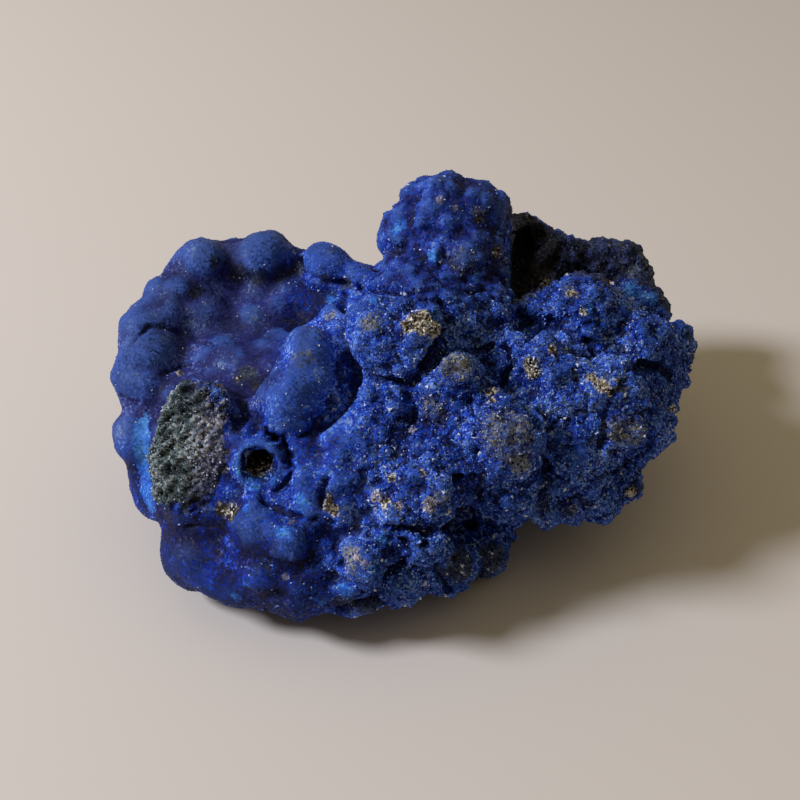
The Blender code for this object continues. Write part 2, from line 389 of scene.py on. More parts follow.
# The face's outline in the front view, from its left corner by the top.
KNOB_OUTLINE = [
    (146, 407), (151, 393), (168, 374), (178, 368), (196, 371), (213, 375), (227, 390), (232, 408),
    (223, 430), (226, 448), (227, 472), (214, 492), (209, 510), (193, 517), (168, 509), (151, 499),
    (147, 484), (144, 457), (144, 430),
]
MOUTH = (-17.7, -15.8, 22.7)  # the mouth of the hollow stalactite
MOUTH_OUT = Vector((0.05, -0.82, 0.57)).normalized()
MOUTH_RING = 2.6  # the radius of the ring of small lumps round the mouth
RING_LUMPS, RING_SIZES, RING_HALF_ANGLE = 17, (0.75, 0.85, 0.7), 174
BORE_DEPTH, BORE_INSIDE, BORE_OUTSIDE = 6, 2.1, 2.5
BORE_GRAINS = [(3.2, 1.5, 1.1), (4.4, 0.6, 1.2), (2.2, 1.9, 0.6)]  # how deep, how far off axis, how large
GRAINS_SIDE = Vector((0.62, -0.42, -0.66))  # they have grown on the lower right of the bore's wall
GROOVE_RADIUS, GROOVE_HALF, GROOVE_DEPTH = 4.0, 0.7, 1.3
FLARE = 0.35
KNOB_FLATNESS, KNOB_REACH = 0.7, 2.5  # the share of its unevenness that the break takes off, and how high


def by_line(start, end, across, down):
    """How far along a line in the front view points lie, from 0 to 1, and how far off it."""
    (x1, y1), (x2, y2) = start, end
    x_way, y_way = x2 - x1, y2 - y1
    t = np.clip(((across - x1) * x_way + (down - y1) * y_way) / (x_way**2 + y_way**2), 0, 1)
    return t, np.hypot(across - x1 - t * x_way, down - y1 - t * y_way)


def inside(outline, across, down):
    """How far points lie inside an outline in the front view. It is below 0 outside."""
    nearest = np.full(len(across), 1e9)
    within = np.zeros(len(across), bool)
    for start, end in zip(outline, outline[1:] + outline[:1]):
        nearest = np.minimum(nearest, by_line(start, end, across, down)[1])
        (x1, y1), (x2, y2) = start, end
        if y1 != y2:
            within ^= ((down < y1) != (down < y2)) & (across < x1 + (down - y1) * (x2 - x1) / (y2 - y1))
    return np.where(within, nearest, -nearest)


def on_knob_face(p):
    """1 on the broken face of the knob, and 0 off it."""
    proud = (p - np.array(KNOB_FACE)) @ np.array(KNOB_OUT)
    return ramp(inside(KNOB_OUTLINE, *as_shown(p)), -2, 3) * ramp(np.abs(proud), 5.5, 4)


def about_mouth(p):
    """How far points lie out from the hollow stalactite's mouth, how far off its axis, and which way."""
    rel = p - np.array(MOUTH)
    along = rel @ np.array(MOUTH_OUT)
    off = rel - along[:, None] * np.array(MOUTH_OUT)
    away = np.linalg.norm(off, axis=1)
    return along, away, off / np.maximum(away, 1e-6)[:, None]


def in_bore(p):
    """1 inside the hollow stalactite's bore."""
    along, away, _ = about_mouth(p)
    below_mouth = ramp(away, BORE_OUTSIDE, BORE_INSIDE) * ramp(along, 0.5, -0.3)
    return below_mouth * ramp(along, -BORE_DEPTH - 2, -BORE_DEPTH - 1)


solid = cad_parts["azurite_specimen"]
mass = new_piece("azurite_mass", solid.data.copy())
solid_surface = surface_of(solid.data)
body = bmesh.new()
body.from_mesh(mass.data)
bmesh.ops.remove_doubles(body, verts=body.verts, dist=0.001 * MM)
for place in SWELLINGS:
    *middle, radius = lump_at(solid_surface, *place, SWELLINGS_SUNK)
    there = Matrix.Translation(Vector(middle) * MM)
    bmesh.ops.create_icosphere(body, subdivisions=4, radius=radius * MM, matrix=there)
body.to_mesh(mass.data)
body.free()
melt(mass, BODY_STEP, BODY_SOFTENING)
settle(mass)
outward = read(mass.data.vertex_normals, "vector")
at = read(mass.data.vertices, "co")
keep_face = 1 - np.maximum(on_knob_face(at / MM), in_bore(at / MM))
at -= outward * (BODY_INSET * keep_face * (1 + 0.8 * coarseness(at / MM)))[:, None]
at[:, 2] = np.maximum(at[:, 2], 0)
move(mass.data, at)

body_surface = surface_of(mass.data)
all_lumps = [lump_at(body_surface, *place, sunk) for sunk, places in LUMPS.values() for place in places]
# Small lumps stand in a ring round the hollow stalactite's mouth, and a few grains inside it.
side = MOUTH_OUT.cross((0, 0, 1)).normalized() * -1
up = side.cross(MOUTH_OUT) * -1
for k in range(RING_LUMPS):
    angle = radians(RING_HALF_ANGLE * (2 * k / (RING_LUMPS - 1) - 1))
    reach = MOUTH_RING * cos(angle) * side + MOUTH_RING * sin(angle) * up
    all_lumps.append((*(Vector(MOUTH) - MOUTH_OUT * 0.5 + reach), RING_SIZES[k % len(RING_SIZES)]))
for deep, off, size in BORE_GRAINS:
    all_lumps.append((*(Vector(MOUTH) - MOUTH_OUT * deep + GRAINS_SIDE * off), size))
p = at / MM
placed = np.array(all_lumps)
room = np.min(np.linalg.norm(p[:, None] - placed[None, :, :3], axis=2) - placed[:, 3], axis=1)
clear = keep_face * ramp(p[:, 2], 0.5, 1.5)
store(mass.data, "coarse", coarseness(p))
store(mass.data, "free", clear * ramp(room, -0.2, 0.8) * (1 - low_left(p)))

dots = bpy.data.meshes.new("placed_lumps")
dots.from_pydata([Vector(lump[:3]) * MM for lump in all_lumps], [], [])
store(dots, "radius", [lump[3] * MM for lump in all_lumps])
placed_dots = new_piece("placed_lumps", dots)

skin_finish = bpy.data.materials.new("azurite_skin")
lumps, given, made = geometry_tree(
    "grown_lumps",
    Placed_lumps=None,
    Lump_spacing=3.2 * MM,
    Least_radius=0.8 * MM,
    Most_radius=2.8 * MM,
    Seed=5,
)


def vectors(tree, how, feeds):
    """One Vector Math node, as sums is one Math node."""
    return grow(tree, "ShaderNodeVectorMath", feeds, operation=how).outputs[0]


def scaled(tree, vector, by):
    return vectors(tree, "SCALE", {0: vector, "Scale": by})


def chosen(tree, low, high, seed, kind="FLOAT"):
    """A number or vector for each point, chosen at random between two others."""
    first, output = (2, 1) if kind == "FLOAT" else (0, 0)
    feeds = {first: low, first + 1: high, "Seed": seed}
    return grow(tree, "FunctionNodeRandomValue", feeds, data_type=kind).outputs[output]


def spread(tree, surface, spacing, most, share, seed):
    """Points on a surface, no nearer each other than the spacing, with their normals and turns."""
    feeds = {"Mesh": surface, "Distance Min": spacing, "Density Max": most}
    feeds |= {"Density Factor": share, "Seed": seed}
    return grow(tree, "GeometryNodeDistributePointsOnFaces", feeds, distribute_method="POISSON").outputs


MOST_BALLS = 4e6  # the most tries at placing a ball, for a square metre
LUMPS_SUNK, PEARLS_SUNK = 0.72, 0.4


def scattered(tree, surface, ball, share, spacing, least, most, sunk, seed, turned):
    """Balls scattered on a surface and sunk in it, a share of them kept, with radii from least to most."""
    points, normal, _ = spread(tree, surface, spacing, MOST_BALLS, share, seed)
    size = chosen(tree, least, most, seed)
    step = scaled(tree, normal, sums(tree, "MULTIPLY", size, -sunk))
    at_depth = grow(tree, "GeometryNodeSetPosition", {"Geometry": points, "Offset": step})
    feeds = {"Points": at_depth.outputs[0], "Instance": ball, "Scale": size}
    if turned:
        feeds["Rotation"] = chosen(tree, (-pi,) * 3, (pi,) * 3, seed, "FLOAT_VECTOR")
    return grow(tree, "GeometryNodeInstanceOnPoints", feeds).outputs[0]


def joined(tree, *parts):
    join = grow(tree, "GeometryNodeJoinGeometry")
    for part in parts:
        tree.links.new(part, join.inputs[0])
    return join.outputs[0]


surface, seed = given["Geometry"], given["Seed"]
round_ball = grow(lumps, "GeometryNodeMeshIcoSphere", {"Radius": 1.0, "Subdivisions": 4}).outputs["Mesh"]
sizes = given["Least radius"], given["Most radius"]
free, spacing = kept_number(lumps, "free"), given["Lump spacing"]
random_lumps = scattered(lumps, surface, round_ball, free, spacing, *sizes, LUMPS_SUNK, seed, False)
dot_geometry = grow(lumps, "GeometryNodeObjectInfo", {"Object": given["Placed lumps"]}).outputs["Geometry"]
feeds = {"Points": dot_geometry, "Instance": round_ball, "Scale": kept_number(lumps, "radius")}
placed_balls = grow(lumps, "GeometryNodeInstanceOnPoints", feeds).outputs[0]
finish_tree(lumps, joined(lumps, surface, random_lumps, placed_balls), skin_finish, made)
use_tree(mass, lumps, Placed_lumps=placed_dots)
melt(mass, LUMP_STEP, SKIN_SOFTENING)
settle(mass)
bpy.data.objects.remove(placed_dots)

# On the coarse side the lumps carry pearls, and the pearls carry grains.
pearls, given, made = geometry_tree(
    "pearls",
    Pearl_spacing=1.75 * MM,
    Least_radius=0.6 * MM,
    Most_radius=1.3 * MM,
    Grain_spacing=0.8 * MM,
    Grain_radius=0.5 * MM,
    Seed=8,
)
surface, seed = given["Geometry"], given["Seed"]
round_ball = grow(pearls, "GeometryNodeMeshIcoSphere", {"Radius": 1.0, "Subdivisions": 3}).outputs["Mesh"]
sharp_ball = grow(pearls, "GeometryNodeMeshIcoSphere", {"Radius": 1.0, "Subdivisions": 1}).outputs["Mesh"]
share = kept_number(pearls, "coarse")
sizes = given["Least radius"], given["Most radius"]
spacing = given["Pearl spacing"]
small_lumps = scattered(pearls, surface, round_ball, share, spacing, *sizes, PEARLS_SUNK, seed, False)
sizes = sums(pearls, "MULTIPLY", given["Grain radius"], 0.5), given["Grain radius"]
spacing = given["Grain spacing"]
grains = scattered(pearls, surface, sharp_ball, share, spacing, *sizes, PEARLS_SUNK, seed, True)
finish_tree(pearls, joined(pearls, surface, small_lumps, grains), skin_finish, made)
p = read(mass.data.vertices, "co") / MM
off_parts = 1 - np.maximum(on_knob_face(p), ramp(np.linalg.norm(p - MOUTH, axis=1), 5, 4))
store(mass.data, "coarse", coarseness(p) * off_parts * ramp(p[:, 2], 0.5, 1.5))
use_tree(mass, pearls)
melt(mass, SKIN_STEP, SKIN_SOFTENING)
settle(mass)

skin_surface = surface_of(mass.data)
p = read(mass.data.vertices, "co") / MM
press = np.zeros(len(p))
for places in CLEFTS:
    path = np.array(spots_at(skin_surface, places))
    for start, end in zip(path[:-1], path[1:]):
        way = end[:3] - start[:3]
        t = np.clip((p - start[:3]) @ way / (way @ way), 0, 1)
        half = start[3] + t * (end[3] - start[3])
        away = np.linalg.norm(p - start[:3] - t[:, None] * way, axis=1)
        press = np.maximum(press, ramp(away / half, CLEFT_WIDTH, 0.2) * half * CLEFT_DEPTH)
# The smooth mound's lumps have run into each other more than the coarse side's.
smooth_share = np.maximum(0.9 * np.maximum(violet_mound(p), low_left(p)), 0.5 * (1 - coarseness(p)))
off_mouth = 1 - ramp(np.linalg.norm(p - MOUTH, axis=1), 7, 5)
p += (evened(mass.data, p, SKIN_EVENED) - p) * (smooth_share * off_mouth)[:, None]
outward = evened(mass.data, read(mass.data.vertex_normals, "vector"), PRESS_EVENED)
outward /= np.linalg.norm(outward, axis=1)[:, None]
p -= outward * press[:, None]

# The hollow stalactite ends in a ring, with a groove round it that wanders, and its bore widens at the mouth.
along, away, out_from = about_mouth(p)
wobble = np.sin(p @ (2.1, 1.3, -1.7)) * 0.3 + np.sin(p @ (-3.9, 2.2, 3.1)) * 0.2
near = ramp(np.abs(along), 3.6, 2.0)
on_right = ramp(out_from @ (0.95, 0.2, 0.3), -0.1, 0.5)  # the groove is deep there, and a mere line elsewhere
off_groove = np.abs(away + wobble - GROOVE_RADIUS)
groove = ramp(off_groove, GROOVE_HALF, 0.1) * near * GROOVE_DEPTH * (0.1 + 0.9 * on_right)
p -= np.array(MOUTH_OUT) * (groove * (1 + wobble))[:, None]
flare = ramp(away, 2.6, 1.7) * ramp(along, -2.5, -0.2) * ramp(along, 1.6, 0.8)
p += out_from * (flare * (FLARE + 0.5 * wobble))[:, None]
# The knob broke off flat.
proud = (p - np.array(KNOB_FACE)) @ np.array(KNOB_OUT)
p -= np.array(KNOB_OUT) * (np.clip(proud, -KNOB_REACH, KNOB_REACH) * on_knob_face(p) * KNOB_FLATNESS)[:, None]
p[:, 2] = np.maximum(p[:, 2], 0)
move(mass.data, p * MM)

# --------------------------------------------------------------------------------------------------
# The skin's own relief: the coarse side is a crust of small angular crystals, the left mound is smooth, and
# the knob's broken face is fibrous. It is worked into the mesh before the skin is thinned.
# --------------------------------------------------------------------------------------------------
relief, given, made = geometry_tree(
    "skin_relief",
    Swell=0.7 * MM,
    Crystal_height=0.45 * MM,
    Grain_height=0.35 * MM,
    Fibre_height=3.8 * MM,
)
place = grow(relief, "GeometryNodeInputPosition").outputs[0]
coarse = kept_number(relief, "coarse")
knob = kept_number(relief, "knob")


def pattern(tree, kind, where, scale, **feeds):
    """A texture of this scale, in repeats a metre, read at a place."""
    output = "Distance" if kind == "ShaderNodeTexVoronoi" else 0
    choices = feeds.pop("choices", {})
    return grow(tree, kind, {"Vector": where, "Scale": scale, **feeds}, **choices).outputs[output]


def height(tree, value, middle, amount, share):
    """(value - middle) * amount * share"""
    tall = sums(tree, "MULTIPLY", sums(tree, "SUBTRACT", value, middle), amount)
    return sums(tree, "MULTIPLY", tall, share)


swell = pattern(relief, "ShaderNodeTexNoise", place, 300.0, Detail=2.0)
crystals = pattern(relief, "ShaderNodeTexVoronoi", place, 900.0, choices={"distance": "CHEBYCHEV"})
small = pattern(relief, "ShaderNodeTexVoronoi", place, 1400.0)
lay = grow(relief, "ShaderNodeVectorRotate", {"Vector": place, "Axis": KNOB_OUT, "Angle": -0.8}).outputs[0]
stretched = vectors(relief, "MULTIPLY", {0: lay, 1: (0.45, 1.4, 1.4)})  # the fibres are drawn out one way
fibres = pattern(relief, "ShaderNodeTexNoise", stretched, 800.0, Detail=5.0, Roughness=0.75, Distortion=0.3)
off_knob = sums(relief, "SUBTRACT", 1.0, knob)
grain_share = sums(relief, "MULTIPLY", off_knob, sums(relief, "MULTIPLY_ADD", coarse, 0.8, 0.2))
total = height(relief, swell, 0.5, given["Swell"], off_knob)
for part in (
    height(relief, sums(relief, "SUBTRACT", 1.0, crystals), 0.6, given["Crystal height"], coarse),
    height(relief, sums(relief, "SUBTRACT", 1.0, small), 0.6, given["Grain height"], grain_share),
    height(relief, fibres, 0.5, given["Fibre height"], knob),
):
    total = sums(relief, "ADD", total, part)
total = sums(relief, "MULTIPLY", total, kept_number(relief, "off_floor"))
out_by = scaled(relief, grow(relief, "GeometryNodeInputNormal").outputs[0], total)
raised = grow(relief, "GeometryNodeSetPosition", {"Geometry": given["Geometry"], "Offset": out_by})
relief.links.new(raised.outputs[0], made)

p = read(mass.data.vertices, "co") / MM
store(mass.data, "coarse", coarseness(p))
store(mass.data, "knob", on_knob_face(p))
store(mass.data, "off_floor", ramp(p[:, 2], 0, 1))
use_tree(mass, relief)
thin = mass.modifiers.new("thin", "DECIMATE")
thin.ratio = SKIN_TRIANGLES / (2 * len(mass.data.polygons))
settle(mass)

# --------------------------------------------------------------------------------------------------
# The azurite's finish: deep blue, violet and dusty on the smooth mound, where pale tops are partly dust and
# partly painted highlight, sky blue where it is thin or powdery, with tan and brown earth in the pockets, and
# a grey-green fibrous break on the knob. Crests get a lighter tint that is partly painted highlight, and
# gaps, dark patches, the shaded ridge and the shaded pocket get painted shade. Numbers kept on the mesh say
# where each lies.
# --------------------------------------------------------------------------------------------------
# Where each finish lies, as it shows in the front view: across, down and how far it reaches.
EARTH = [
    (420, 322, 13), (408, 326, 8), (436, 330, 9), (492, 390, 7), (491, 400, 5), (530, 364, 8),
    (532, 374, 8), (553, 350, 6), (592, 378, 6), (602, 386, 8), (612, 393, 5), (545, 283, 5),
    (573, 292, 5), (584, 311, 5), (497, 252, 8), (478, 220, 4), (326, 502, 10), (334, 510, 6),
    (232, 514, 10), (222, 510, 8), (226, 452, 5), (225, 470, 5), (180, 373, 4), (240, 378, 4),
    (256, 386, 4), (608, 281, 6), (632, 492, 6), (672, 410, 5), (422, 473, 4), (392, 478, 5),
    (447, 512, 4), (385, 502, 6),
]
DUST = [
    (505, 430, 30), (520, 462, 13), (618, 430, 14), (636, 432, 16), (456, 366, 17), (432, 410, 15),
    (370, 322, 10), (303, 358, 12), (330, 318, 8), (247, 374, 12), (238, 382, 7), (570, 510, 8),
    (495, 425, 8), (462, 258, 16), (355, 258, 9), (480, 215, 10), (545, 285, 8), (570, 290, 9),
    (440, 500, 10), (350, 560, 14), (620, 385, 8),
]
WHITE = [
    (285, 577, 6), (356, 557, 6), (365, 565, 5), (292, 522, 4), (440, 200, 5), (455, 208, 4),
    (376, 497, 6), (400, 505, 5), (430, 505, 8), (412, 430, 5),
]
SKY = [
    (290, 530, 5), (303, 507, 7), (300, 498, 6), (236, 598, 9), (322, 602, 5), (331, 300, 7),
    (433, 256, 7), (401, 226, 7), (396, 232, 6), (212, 390, 6), (632, 291, 10), (650, 296, 8),
    (590, 308, 5), (269, 569, 7), (500, 232, 6), (476, 278, 5), (375, 300, 6), (345, 591, 9),
    (265, 560, 6), (246, 585, 8), (383, 540, 6), (372, 570, 6), (255, 488, 5), (275, 480, 4),
]
BRIGHT_SKY = [
    (246, 509, 6), (281, 533, 8), (235, 599, 7), (322, 603, 5), (303, 500, 5), (433, 257, 4),
    (397, 228, 5),
]
# Painted shade: dark patches in the valleys and pits, under the tongue and the front edge, and at the shaded
# right edge.
PAINTED_SHADE_SPOTS = [
    (247, 374, 10), (256, 384, 8), (236, 430, 6), (284, 447, 6), (195, 292, 8), (216, 262, 8),
    (238, 272, 10), (258, 276, 10), (280, 273, 10), (300, 268, 8), (345, 283, 7), (325, 279, 6),
    (460, 562, 20), (490, 560, 17), (480, 582, 13), (693, 356, 5), (688, 335, 5), (664, 300, 6),
    (240, 420, 8), (325, 497, 9), (222, 408, 7), (345, 605, 14), (372, 608, 12), (635, 492, 9),
    (258, 460, 9),
]
# The ridge at the back, which lies in shadow: it gets painted shade, and fewer crystals.
RIDGE_OUTLINE = [
    (512, 205), (540, 222), (575, 238), (610, 232), (638, 236), (660, 262), (672, 290), (684, 316),
    (668, 312), (650, 288), (628, 276), (608, 284), (588, 276), (562, 274), (545, 284), (520, 302),
    (512, 260),
]
# The pocket between the crown and the ridge, which lies in shadow; it is painted near black.
SHADOWED_POCKET_OUTLINE = [
    (512, 206), (532, 216), (548, 230), (560, 238), (560, 258), (548, 272), (536, 283), (521, 300),
    (513, 292), (511, 240),
]
DUSTY_HIGHLIGHTS = [  # pale tops, partly dust and partly painted highlight
    (200, 245, 13), (240, 246, 12), (262, 240, 12), (330, 250, 9), (210, 287, 9), (253, 288, 8),
    (287, 280, 11), (323, 283, 10), (167, 298, 13), (196, 318, 15), (228, 330, 9), (130, 327, 10),
    (163, 343, 20), (137, 342, 12), (125, 377, 11), (118, 430, 9), (305, 330, 12), (303, 360, 12),
    (255, 320, 12), (225, 360, 10), (180, 275, 10), (150, 320, 10), (210, 300, 7),
]
KNOB_CRUST = [
    (206, 384, 10), (218, 396, 9), (196, 377, 8), (184, 373, 6), (224, 408, 7), (228, 424, 5),
    (212, 502, 8), (196, 511, 8), (176, 508, 6), (222, 480, 5),
]
SKY_STRIP = [
    (146, 388, 6), (142, 405, 7), (141, 430, 7), (142, 455, 7), (143, 475, 7), (146, 495, 6),
    (152, 508, 5),
]


def knob_side(p):
    """How far to the right of its middle a point on the knob's broken face lies."""
    return (p - np.array(KNOB_FACE)) @ np.array(KNOB_OUT.cross((0, 0, 1)).normalized()) * -1


def patches(p, places, reach=1.35):
    """1 in the middle of any of the patches that show at these places, and 0 away from them."""
    found = np.zeros(len(p))
    for x, y, z, radius in spots_at(skin_surface, places):
        found = np.maximum(found, ramp(np.linalg.norm(p - (x, y, z), axis=1) / radius, reach, 0.55))
    return found


def beside(path, p):
    """1 along a path in the front view, given as places with a half width, and 0 away from it."""
    found = np.zeros(len(p))
    for (*start, half1), (*end, half2) in zip(path[:-1], path[1:]):
        t, away = by_line(start, end, *as_shown(p))
        found = np.maximum(found, ramp(away / (half1 + t * (half2 - half1)), 1.7, 0.5))
    return found


def on_ridge(p):
    """1 on the ridge at the back, which lies in shadow and is painted dark, and 0 off it."""
    return ramp(p[:, 1], -4, 0) * ramp(inside(RIDGE_OUTLINE, *as_shown(p)), -6, 4)


EVEN_NEAR, EVEN_FAR = 5, 14  # how often the skin is evened, to see what stands out of it
CREST, GAP, FINE_GAP = 0.4, 0.34, 0.13  # how far out or in a crest or a gap is full, in millimetres
# What makes places paler or darker, livelier or calmer.
MIDDLE_PALER, SPOTS_PALER, LOW_DARKER, CROWN_DARKER, LOBE_DARKER = 0.13, 0.35, 0.4, 0.25, 0.12
MOUND_CALMER, CROWN_CALMER, LOW_CALMER = 0.15, 0.25, 0.3
CROWN_VIOLET = 0.35


def mark(piece):
    """Keeps on a piece's mesh where each finish lies, and how far each point stands out or lies back."""
    mesh = piece.data
    at = read(mesh.vertices, "co")
    p = at / MM
    outward = read(mesh.vertex_normals, "vector")
    near = evened(mesh, at, EVEN_NEAR)
    stand = ((at - evened(mesh, near, EVEN_FAR)) * outward).sum(1) / MM
    fine_stand = ((at - near) * outward).sum(1) / MM
    # Crests are marked for a lighter tint, partly dust and partly painted highlight.
    store(mesh, "crest", ramp(stand, 0.0, CREST) * (1 - 0.7 * low_left(p)))
    # Painted shade: the gaps between lumps, and between the crystals on the coarse side, are marked to be
    # darkened.
    gap = np.maximum(ramp(stand, -0.03, -GAP), 0.85 * ramp(fine_stand, -0.01, -FINE_GAP) * coarseness(p))
    store(mesh, "hollow", gap * (1 - 0.7 * violet_mound(p)))
    store(mesh, "coarse", coarseness(p))
    store(mesh, "rough", np.maximum(coarseness(p), 0.9 * on_knob_face(p)))
    x = p[:, 0]
    near_knob = ramp(np.linalg.norm(p - np.array(KNOB_FACE), axis=1), 15, 13)
    strip = beside(SKY_STRIP, p) * near_knob * (1 - on_knob_face(p))
    bright = np.maximum(strip, patches(p, BRIGHT_SKY, 1.2))
    paler = MIDDLE_PALER * ramp(x, -12, -4) * (1 - low_left(p)) - LOW_DARKER * low_left(p)
    paler = paler - CROWN_DARKER * on_crown(p) - LOBE_DARKER * ramp(x, -8, -12) + SPOTS_PALER * bright
    store(mesh, "paler", paler)
    store(mesh, "violet", np.maximum(violet_mound(p), CROWN_VIOLET * on_crown(p)))
    lively = (1 - MOUND_CALMER * violet_mound(p)) * (1 - CROWN_CALMER * on_crown(p))
    store(mesh, "lively", lively * (1 - LOW_CALMER * low_left(p)))
    store(mesh, "knob", on_knob_face(p) * (1 - 0.85 * patches(p, KNOB_CRUST, 1.6)))
    # Pale tops on the mound, partly dust and partly painted highlight.
    store(mesh, "bloom", patches(p, DUSTY_HIGHLIGHTS, 1.9))
    store(mesh, "tan_side", ramp(knob_side(p), -1.5, 2.5))
    # Painted shade: the dark patches and the shaded ridge.
    store(mesh, "soot", np.maximum(patches(p, PAINTED_SHADE_SPOTS, 1.6), on_ridge(p)))
    # Painted shadow: the shaded pocket behind the crown, and the bore deeper in, are marked to go near black.
    hollow = ramp(p[:, 1], 8, 12) * ramp(inside(SHADOWED_POCKET_OUTLINE, *as_shown(p)), -6, 2)
    hollow *= ramp(outward @ (0, -0.77, 0.64), -0.3, 0.1)  # not the outside behind it
    along, away, _ = about_mouth(p)
    store(mesh, "black", np.maximum(hollow, in_bore(p) * ramp(along, -3.6, -5)))
    store(mesh, "earth", np.maximum(patches(p, EARTH), 0.7 * in_bore(p) * ramp(along, -0.6, -1.6)))
    store(mesh, "dust", 0.85 * patches(p, DUST, 1.5))
    store(mesh, "white", patches(p, WHITE))
    ring = ramp(away, 3.4, 2.9) * ramp(np.abs(along), 2.5, 1.5)
    sky = patches(p, SKY + BRIGHT_SKY) + 0.35 * patches(p, KNOB_CRUST[:3], 1.6)
    store(mesh, "sky", sky + 1.2 * strip + 0.4 * ring)
    store(mesh, "off_floor", ramp(p[:, 2], 0, 1))


mark(mass)


def shader_group(name, inputs, outputs):
    """A shader group with plain number inputs and colour or vector outputs."""
    group = bpy.data.node_groups.new(name, "ShaderNodeTree")
    for label in inputs:
        group.interface.new_socket(label, in_out="INPUT", socket_type="NodeSocketFloat")
    for label, kind in outputs.items():
        group.interface.new_socket(label, in_out="OUTPUT", socket_type="NodeSocket" + kind)
    return group, group.nodes.new("NodeGroupInput").outputs, group.nodes.new("NodeGroupOutput").inputs


def colours(tree, value, *stops):
    """A colour ramp: each stop is a place from 0 to 1 and a colour."""
    ramp_node = grow(tree, "ShaderNodeValToRGB", {0: value})
    marks = ramp_node.color_ramp.elements
    while len(marks) < len(stops):
        marks.new(0.5)
    for stop, (where, colour) in zip(marks, stops):
        stop.position = where
        stop.color = (*colour, 1)
    return ramp_node.outputs[0]


def blend(tree, share, under, over, how="MIX"):
    """Lays over on under, by share."""
    mix = grow(tree, "ShaderNodeMix", {0: share, 6: under, 7: over}, data_type="RGBA", blend_type=how)
    return mix.outputs[2]


FINISHES = (
    "Shade", "Violet", "Crest", "Hollow", "Earth", "Dust", "White", "Sky", "Bloom", "Soot", "Knob",
    "Tan side", "Black",
)
finish, given, made = shader_group("azurite_colour", FINISHES, {"Color": "Color"})
shade = given["Shade"]


def broken(name, cut=0.75, sharp=2.5):
    """A finish's mask, broken up at its edges by the shade."""
    darkness = sums(finish, "MAXIMUM", sums(finish, "SUBTRACT", 1.0, shade), 0.0)
    edge = sums(finish, "MULTIPLY_ADD", darkness, -cut, given[name])
    mask = grow(finish, "ShaderNodeMath", {0: edge, 1: sharp}, operation="MULTIPLY", use_clamp=True)
    return mask.outputs[0]


def toned(*stops):
    """A finish's colours, from the first where the shade is dark to the last where it is light."""
    return colours(finish, shade, *stops)


def laid(name, share, over, how="MIX"):
    """Lays a colour over the azurite by a share of the number kept for it."""
    return blend(finish, sums(finish, "MULTIPLY", name, share), colour, over, how)


blue = toned(
    (0.0, (0.001, 0.003, 0.04)),
    (0.4, (0.002, 0.018, 0.3)),
    (0.72, (0.013, 0.085, 0.62)),
    (0.9, (0.045, 0.17, 0.76)),
    (1.0, (0.25, 0.41, 0.9)),
)
violet = toned(
    (0.0, (0.004, 0.005, 0.045)),
    (0.5, (0.013, 0.018, 0.14)),
    (0.8, (0.028, 0.042, 0.24)),
    (1.0, (0.11, 0.15, 0.4)),
)
colour = blend(finish, given["Violet"], blue, violet)
# Crests get a lighter blue, partly dust and partly painted highlight.
colour = laid(given["Crest"], sums(finish, "MULTIPLY_ADD", given["Violet"], 0.1, 0.5), (0.04, 0.11, 0.42, 1))
# Painted shade: gaps and crevices are darkened.
colour = laid(given["Hollow"], 0.85, (0.06, 0.06, 0.13, 1), "MULTIPLY")
# Pale tops on the mound: partly dust, partly painted highlight.
bloom = toned((0.1, (0.015, 0.03, 0.14)), (0.6, (0.045, 0.085, 0.25)), (1.0, (0.16, 0.24, 0.44)))
colour = laid(given["Bloom"], sums(finish, "MULTIPLY_ADD", shade, 0.6, 0.1), bloom)
# Painted shade: dark grey where the patches and the shaded ridge lie.
soot = toned((0.2, (0.005, 0.007, 0.015)), (0.6, (0.018, 0.022, 0.038)), (1.0, (0.07, 0.08, 0.10)))
colour = laid(broken("Soot", 0.6, 1.7), 0.85, soot)
dust = toned((0.1, (0.012, 0.03, 0.10)), (0.55, (0.055, 0.08, 0.12)), (1.0, (0.30, 0.29, 0.21)))
colour = laid(broken("Dust", 0.7, 1.5), 0.8, dust)
earth = toned(
    (0.3, (0.008, 0.007, 0.006)),
    (0.5, (0.04, 0.032, 0.022)),
    (0.7, (0.2, 0.165, 0.11)),
    (0.85, (0.7, 0.66, 0.58)),
)
colour = blend(finish, broken("Earth", 0.6), colour, earth)
white = toned((0.0, (0.05, 0.07, 0.2)), (0.6, (0.2, 0.2, 0.3)), (1.0, (0.62, 0.58, 0.6)))
colour = blend(finish, broken("White", 0.8), colour, white)
sky = toned((0.0, (0.010, 0.05, 0.34)), (0.5, (0.022, 0.14, 0.6)), (1.0, (0.1, 0.35, 0.83)))
colour = laid(broken("Sky", 0.8), 0.85, sky)
# Painted glint: crystals with a shade past 1.4 are blended toward a pale whitish blue.
glinting = sums(finish, "MULTIPLY_ADD", shade, 3.0, -4.2)  # only crystals with a shade past 1.4 glint
colour = blend(finish, glinting, colour, (0.6, 0.66, 0.82, 1))
# On the knob's stone, gaps are darker as painted shade and crests lighter as painted highlight with some
# dust.
relief_shade = sums(
    finish, "MULTIPLY_ADD", given["Hollow"], -0.45, sums(finish, "MULTIPLY_ADD", given["Crest"], 0.3, shade)
)
green_stone = colours(
    finish,
    relief_shade,
    (0.1, (0.008, 0.013, 0.020)),
    (0.35, (0.05, 0.08, 0.08)),
    (0.6, (0.12, 0.17, 0.19)),
    (0.85, (0.27, 0.33, 0.38)),
    (1.0, (0.62, 0.68, 0.75)),
)
tan_stone = colours(
    finish,
    relief_shade,
    (0.1, (0.012, 0.014, 0.035)),
    (0.35, (0.05, 0.065, 0.16)),
    (0.6, (0.18, 0.19, 0.25)),
    (0.85, (0.4, 0.4, 0.43)),
    (1.0, (0.7, 0.68, 0.7)),
)
stone = blend(finish, given["Tan side"], green_stone, tan_stone)
colour = blend(finish, broken("Knob", 0.55, 2.5), colour, stone)
